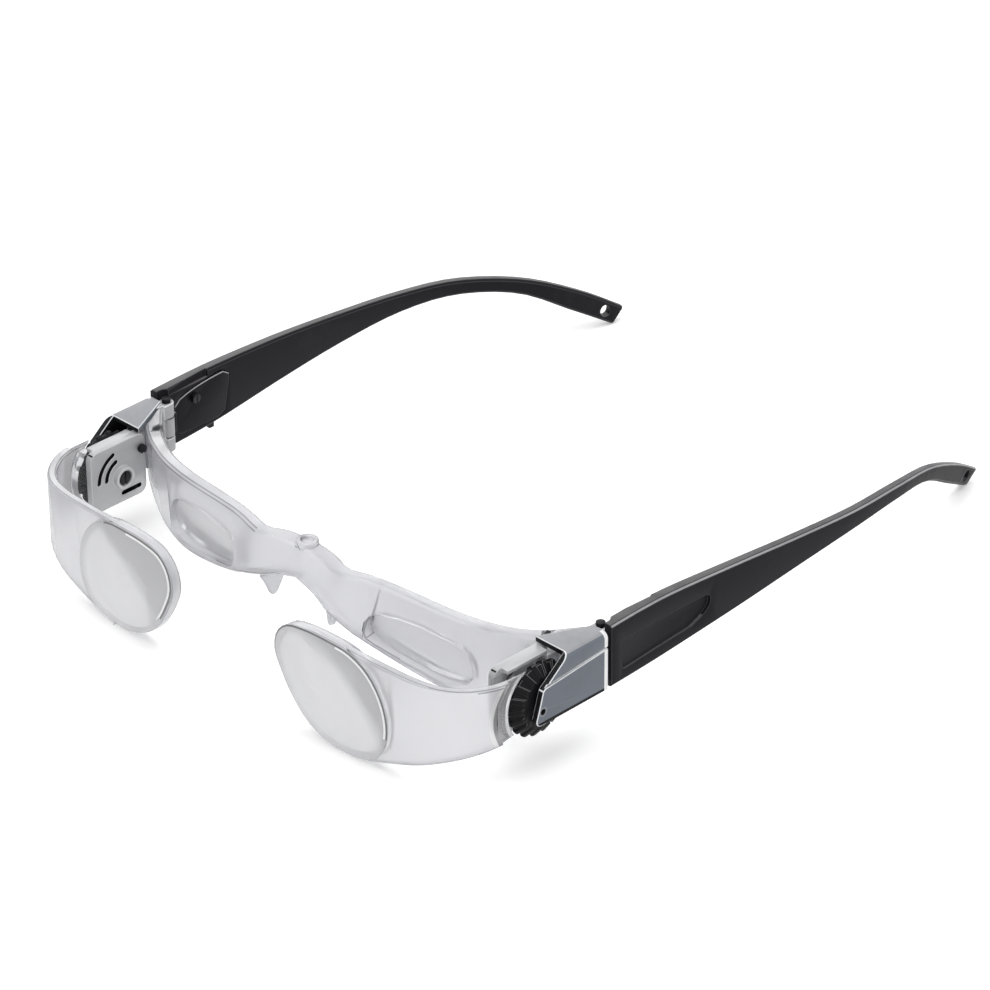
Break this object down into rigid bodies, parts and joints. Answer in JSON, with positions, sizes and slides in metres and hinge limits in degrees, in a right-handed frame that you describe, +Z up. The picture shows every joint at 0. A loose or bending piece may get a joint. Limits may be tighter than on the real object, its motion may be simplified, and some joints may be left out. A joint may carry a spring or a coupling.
{
  "type": "spectacle magnifier",
  "caption": "Spectacle magnifier with clear lens arms that slide forward, knurled focus wheels in side housings, and folding temples.",
  "frame": {"origin": "centre of the bounding box at its bottom, where the lenses and temple tips stand", "axes": "+X to the wearer's left, -Y the way the wearer looks, +Z up"},
  "size_m": [0.152, 0.1904, 0.0294],
  "materials": {
    "clear_frame": "clear moulded plastic",
    "lens": "polished clear lens",
    "pad": "soft translucent pad",
    "grey_housing": "fine satin",
    "black_temple": "satin",
    "wheel": "satin with moulded teeth",
    "screw": "turned steel"
  },
  "bodies": {
    "frame": {"eyepiece_frame": "clear_frame", "ocular_lens_left": "lens", "nose_pad_left": "pad", "carrier_plate_left": "clear_frame", "carrier_screw_left": "screw", "axle_screw_left": "screw", "side_housing_left": "grey_housing", "housing_screw_left": "screw", "hinge_pin_left": "black_temple", "ocular_lens_right": "lens", "nose_pad_right": "pad", "carrier_plate_right": "clear_frame", "carrier_screw_right": "screw", "axle_screw_right": "screw", "side_housing_right": "grey_housing", "housing_screw_right": "screw", "hinge_pin_right": "black_temple"},
    "objective_left": {"objective_arm_left": "clear_frame", "objective_lens_left": "lens"},
    "wheel_left": {"focus_wheel_left": "wheel", "crank_pin_left": "screw"},
    "temple_left": {"temple_left": "black_temple", "temple_cover_left": "black_temple", "cover_screw_left": "screw"},
    "objective_right": {"objective_arm_right": "clear_frame", "objective_lens_right": "lens"},
    "wheel_right": {"focus_wheel_right": "wheel", "crank_pin_right": "screw"},
    "temple_right": {"temple_right": "black_temple", "temple_cover_right": "black_temple", "cover_screw_right": "screw"}
  },
  "joints": [
    {"name": "focus_left", "type": "hinge", "parent": "frame", "child": "wheel_left", "pos_m": [0.0711, -0.06599, 0.01715], "axis": [1, 0, 0], "range_deg": [0, 64]},
    {"name": "lens_slide_left", "type": "slide", "parent": "frame", "child": "objective_left", "axis": [0, -1, -0.0067], "range_m": [0, 0.00551]},
    {"name": "temple_fold_left", "type": "hinge", "parent": "frame", "child": "temple_left", "pos_m": [0.0708, -0.04646, 0.02008], "axis": [0, -0.0067, 1], "range_deg": [0, 90]},
    {"name": "focus_right", "type": "hinge", "parent": "frame", "child": "wheel_right", "pos_m": [-0.0711, -0.06599, 0.01715], "axis": [1, 0, 0], "range_deg": [0, 64]},
    {"name": "lens_slide_right", "type": "slide", "parent": "frame", "child": "objective_right", "axis": [0, -1, -0.0067], "range_m": [0, 0.00551]},
    {"name": "temple_fold_right", "type": "hinge", "parent": "frame", "child": "temple_right", "pos_m": [-0.0708, -0.04646, 0.02008], "axis": [0, 0.0067, -1], "range_deg": [0, 84]}
  ],
  "couplings": [
    {"joint": "focus_left", "follows": "lens_slide_left", "rad_per_m": 202.68},
    {"joint": "focus_right", "follows": "lens_slide_right", "rad_per_m": 202.68}
  ]
}
